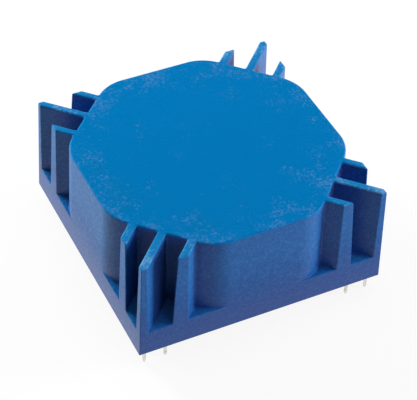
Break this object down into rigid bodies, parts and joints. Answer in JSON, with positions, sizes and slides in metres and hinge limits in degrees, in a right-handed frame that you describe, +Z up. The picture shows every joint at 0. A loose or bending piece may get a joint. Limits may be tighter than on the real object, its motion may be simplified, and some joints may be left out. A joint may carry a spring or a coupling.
{
  "type": "encapsulated toroidal transformer",
  "caption": "Encapsulated toroidal transformer for a circuit board: blue moulded octagonal case with cooling fins at the corners, potted winding and tinned terminal pins.",
  "frame": {"origin": "middle of the seat, the plane where the case's lower rim meets the circuit board; the pins reach below it", "axes": "+Z up from the board through the closed top, X and Y along the sides of the square base, -Y towards the row of primary pins"},
  "size_m": [0.06, 0.06, 0.0308],
  "materials": {
    "case_plastic": "spark-eroded satin, blue",
    "potting_resin": "cast, dull black",
    "core_steel": "wound strip of grain-oriented steel",
    "core_film": "milky polyester film",
    "yellow_film": "yellow polyester film",
    "primary_copper": "enamelled copper wire, dark red",
    "secondary_copper": "enamelled copper wire, golden",
    "tinned_pin": "tin plated",
    "sleeving": "varnished glass-fibre sleeve"
  },
  "bodies": {
    "root": {"case": "case_plastic", "potting_resin": "potting_resin", "core": "core_steel", "core_wrap": "core_film", "primary_winding_1": "primary_copper", "primary_winding_2": "primary_copper", "barrier_tape": "yellow_film", "secondary_winding_1": "secondary_copper", "secondary_winding_2": "secondary_copper", "outer_tape": "yellow_film", "terminal_pin_1": "tinned_pin", "terminal_pin_2": "tinned_pin", "terminal_pin_3": "tinned_pin", "terminal_pin_4": "tinned_pin", "terminal_pin_5": "tinned_pin", "terminal_pin_6": "tinned_pin", "terminal_pin_7": "tinned_pin", "terminal_pin_8": "tinned_pin", "lead_sleeve_1": "sleeving", "lead_sleeve_2": "sleeving", "lead_sleeve_3": "sleeving", "lead_sleeve_4": "sleeving", "lead_sleeve_5": "sleeving", "lead_sleeve_6": "sleeving", "lead_sleeve_7": "sleeving", "lead_sleeve_8": "sleeving"}
  },
  "joints": []
}
